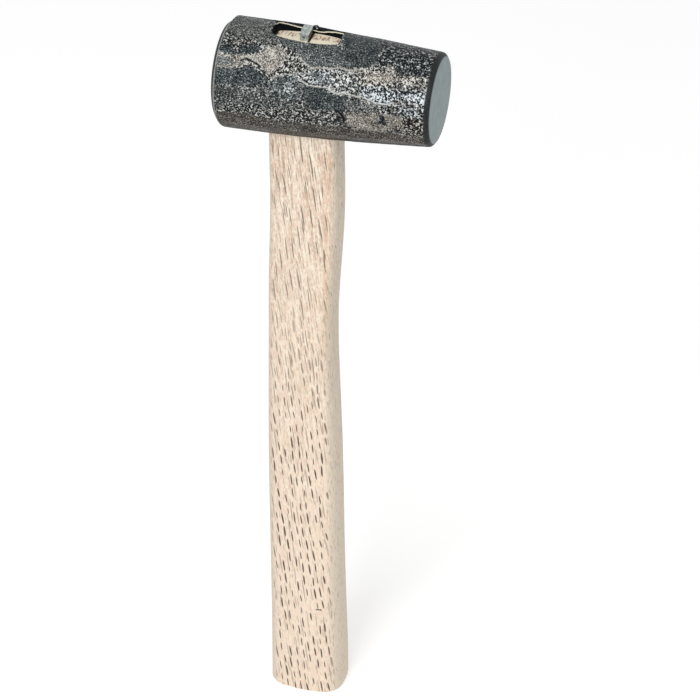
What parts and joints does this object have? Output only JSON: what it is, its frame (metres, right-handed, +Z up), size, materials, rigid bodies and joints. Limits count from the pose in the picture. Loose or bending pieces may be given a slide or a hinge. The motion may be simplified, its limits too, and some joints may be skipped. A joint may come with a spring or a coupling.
{
  "type": "genno hammer",
  "caption": "Forged barrel-shaped steel hammer head with two flat striking faces, on an oval wooden handle wedged through its eye.",
  "frame": {"origin": "centre of the flat sawn butt of the handle, on which the hammer stands", "axes": "+Z up the handle to the head, +X along the head's axis towards its longer, slimmer end, +Y away from the picture's viewer"},
  "size_m": [0.0883, 0.045, 0.34],
  "materials": {
    "forged_steel": "black forge scale, rubbed grey on the flats, ground faces",
    "oak": "sanded, bare oak with short dark pores",
    "wedge_steel": "bare steel, battered on top"
  },
  "bodies": {
    "root": {"head": "forged_steel", "handle": "oak", "wedge": "wedge_steel"}
  },
  "joints": []
}
